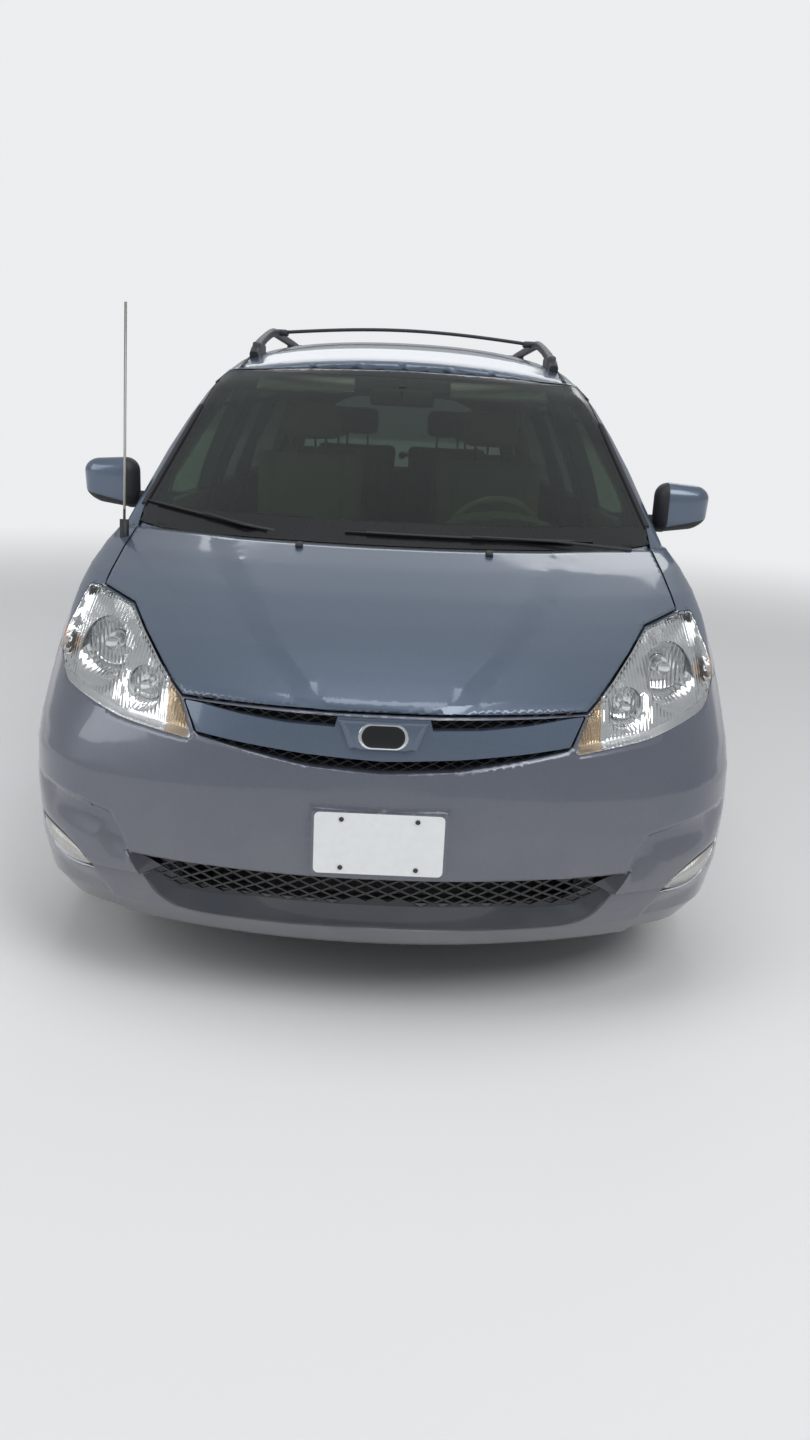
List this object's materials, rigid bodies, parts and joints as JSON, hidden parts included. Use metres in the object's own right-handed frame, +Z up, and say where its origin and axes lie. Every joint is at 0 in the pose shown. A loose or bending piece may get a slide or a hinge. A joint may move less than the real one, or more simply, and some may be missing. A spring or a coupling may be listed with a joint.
{
  "type": "minivan",
  "caption": "Family minivan with a sloping nose, hinged front doors, hood and tailgate, sliding side doors, steered front wheels and a seated cabin.",
  "frame": {"origin": "on the ground, on the centreline, midway between the front and rear ends", "axes": "+Z up, the front faces -Y, the vehicle's left side is +X"},
  "size_m": [2.169, 5.1078, 1.7749],
  "materials": {
    "paint": "metallic slate blue-grey, clear coated",
    "lower_paint": "metallic mauve grey, clear coated",
    "glass": "lightly green tinted, clear",
    "dark_glass": "privacy tint",
    "lens": "clear polycarbonate",
    "red_lens": "red polycarbonate",
    "chrome": "bright reflector plating",
    "black": "black grained plastic",
    "tyre": "black rubber",
    "alloy": "silver painted alloy",
    "iron": "dark cast metal",
    "steel": "dull steel",
    "dash": "soft grained beige plastic",
    "cloth": "beige woven cloth"
  },
  "bodies": {
    "body": {"floor_pan": "paint", "side_frames": "paint", "quarter_panels": "paint", "roof_panel": "paint", "fenders": "paint", "front_bumper": "lower_paint", "rear_bumper": "lower_paint", "cowl_panel": "black", "windshield": "glass", "fixed_side_glass": "dark_glass", "grille_bar": "paint", "grille_mesh": "black", "headlamp_housings": "chrome", "headlamp_lenses": "lens", "fog_lamps": "lens", "tail_lamps": "red_lens", "sliding_doors": "paint", "sliding_door_glass": "dark_glass", "roof_rails": "black", "antenna": "black", "dashboard": "dash", "front_seats": "cloth", "middle_seats": "cloth", "rear_seats": "cloth", "engine_block": "iron", "radiator": "black", "front_subframe": "iron", "rear_axle": "iron", "exhaust": "steel", "fuel_tank": "black"},
    "hood": {"hood": "paint"},
    "door_left": {"front_door_left": "paint", "front_door_glass_left": "glass", "mirror_left": "paint"},
    "door_right": {"front_door_right": "paint", "front_door_glass_right": "glass", "mirror_right": "paint"},
    "tailgate": {"tailgate": "paint", "tailgate_glass": "dark_glass"},
    "knuckle_left": {"knuckle_left": "iron"},
    "knuckle_right": {"knuckle_right": "iron"},
    "wheel_front_left": {"wheel_front_left": "alloy", "tyre_front_left": "tyre"},
    "wheel_front_right": {"wheel_front_right": "alloy", "tyre_front_right": "tyre"},
    "wheel_rear_left": {"wheel_rear_left": "alloy", "tyre_rear_left": "tyre"},
    "wheel_rear_right": {"wheel_rear_right": "alloy", "tyre_rear_right": "tyre"},
    "steering_wheel": {"steering_wheel": "dash"}
  },
  "joints": [
    {"name": "hood_hinge", "type": "hinge", "parent": "body", "child": "hood", "pos_m": [0, -1.4, 1.112], "axis": [-1, 0, 0], "range_deg": [0, 50]},
    {"name": "door_left_hinge", "type": "hinge", "parent": "body", "child": "door_left", "pos_m": [0.971, -1.134, 0.7], "axis": [0, 0, -1], "range_deg": [0, 65]},
    {"name": "door_right_hinge", "type": "hinge", "parent": "body", "child": "door_right", "pos_m": [-0.971, -1.134, 0.7], "axis": [0, 0, 1], "range_deg": [0, 65]},
    {"name": "tailgate_hinge", "type": "hinge", "parent": "body", "child": "tailgate", "pos_m": [0, 2.287, 1.7], "axis": [1, 0, 0], "range_deg": [0, 80]},
    {"name": "steer_left", "type": "hinge", "parent": "body", "child": "knuckle_left", "pos_m": [0.74, -1.607, 0.3395], "axis": [-0.2113, 0, 0.9774], "range_deg": [-35, 35]},
    {"name": "steer_right", "type": "hinge", "parent": "body", "child": "knuckle_right", "pos_m": [-0.74, -1.607, 0.3395], "axis": [0.2113, 0, 0.9774], "range_deg": [-35, 35]},
    {"name": "spin_front_left", "type": "hinge", "parent": "knuckle_left", "child": "wheel_front_left", "pos_m": [0.832, -1.607, 0.3395], "axis": [1, 0, 0], "continuous": true},
    {"name": "spin_front_right", "type": "hinge", "parent": "knuckle_right", "child": "wheel_front_right", "pos_m": [-0.832, -1.607, 0.3395], "axis": [1, 0, 0], "continuous": true},
    {"name": "spin_rear_left", "type": "hinge", "parent": "body", "child": "wheel_rear_left", "pos_m": [0.85, 1.423, 0.3395], "axis": [1, 0, 0], "continuous": true},
    {"name": "spin_rear_right", "type": "hinge", "parent": "body", "child": "wheel_rear_right", "pos_m": [-0.85, 1.423, 0.3395], "axis": [1, 0, 0], "continuous": true},
    {"name": "steering_wheel_turn", "type": "hinge", "parent": "body", "child": "steering_wheel", "pos_m": [0.38, -0.662, 1.015], "axis": [0, 0.891, 0.454], "range_deg": [-530, 530]}
  ],
  "couplings": [
    {"joint": "steer_right", "follows": "steer_left", "ratio": 1},
    {"joint": "steering_wheel_turn", "follows": "steer_left", "ratio": 15}
  ]
}
